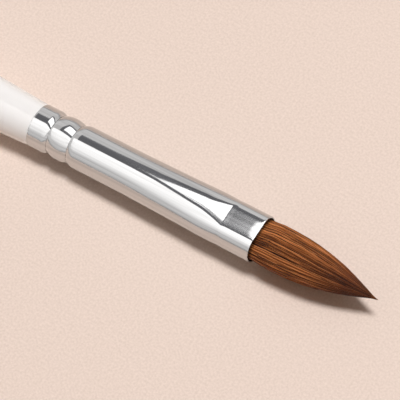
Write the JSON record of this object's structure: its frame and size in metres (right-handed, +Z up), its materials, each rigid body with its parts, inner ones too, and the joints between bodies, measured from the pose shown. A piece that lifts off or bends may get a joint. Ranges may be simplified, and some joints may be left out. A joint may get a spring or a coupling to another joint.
{
  "type": "detail brush",
  "caption": "Round pointed hair brush with a bright pressed metal ferrule, rolled crimp grooves and a glossy white turned handle; the hair bends at the mouth.",
  "frame": {"origin": "on the ground under the middle of the brush's length, with the brush lying level and its belly on the ground", "axes": "+X along the brush towards the hair's point, +Z up and square to the ferrule's pressed flats, +Y across"},
  "size_m": [0.1824, 0.0102, 0.0102],
  "materials": {
    "handle_lacquer": "gloss",
    "ferrule_metal": "polished",
    "hair": "satin",
    "thread": "matte",
    "resin": "gloss",
    "glue": "gloss"
  },
  "bodies": {
    "brush": {"handle": "handle_lacquer", "ferrule": "ferrule_metal", "hair_roots": "hair", "binding_thread": "thread", "hair_resin": "resin", "handle_glue": "glue"},
    "hair": {"hair_tuft": "hair"}
  },
  "joints": [
    {"name": "hair_bend", "type": "hinge", "parent": "brush", "child": "hair", "pos_m": [0.0696, 0, 0.00507], "axis": [0, -1, 0], "range_deg": [-30, 30], "stiffness_Nm_per_rad": 0.005}
  ]
}
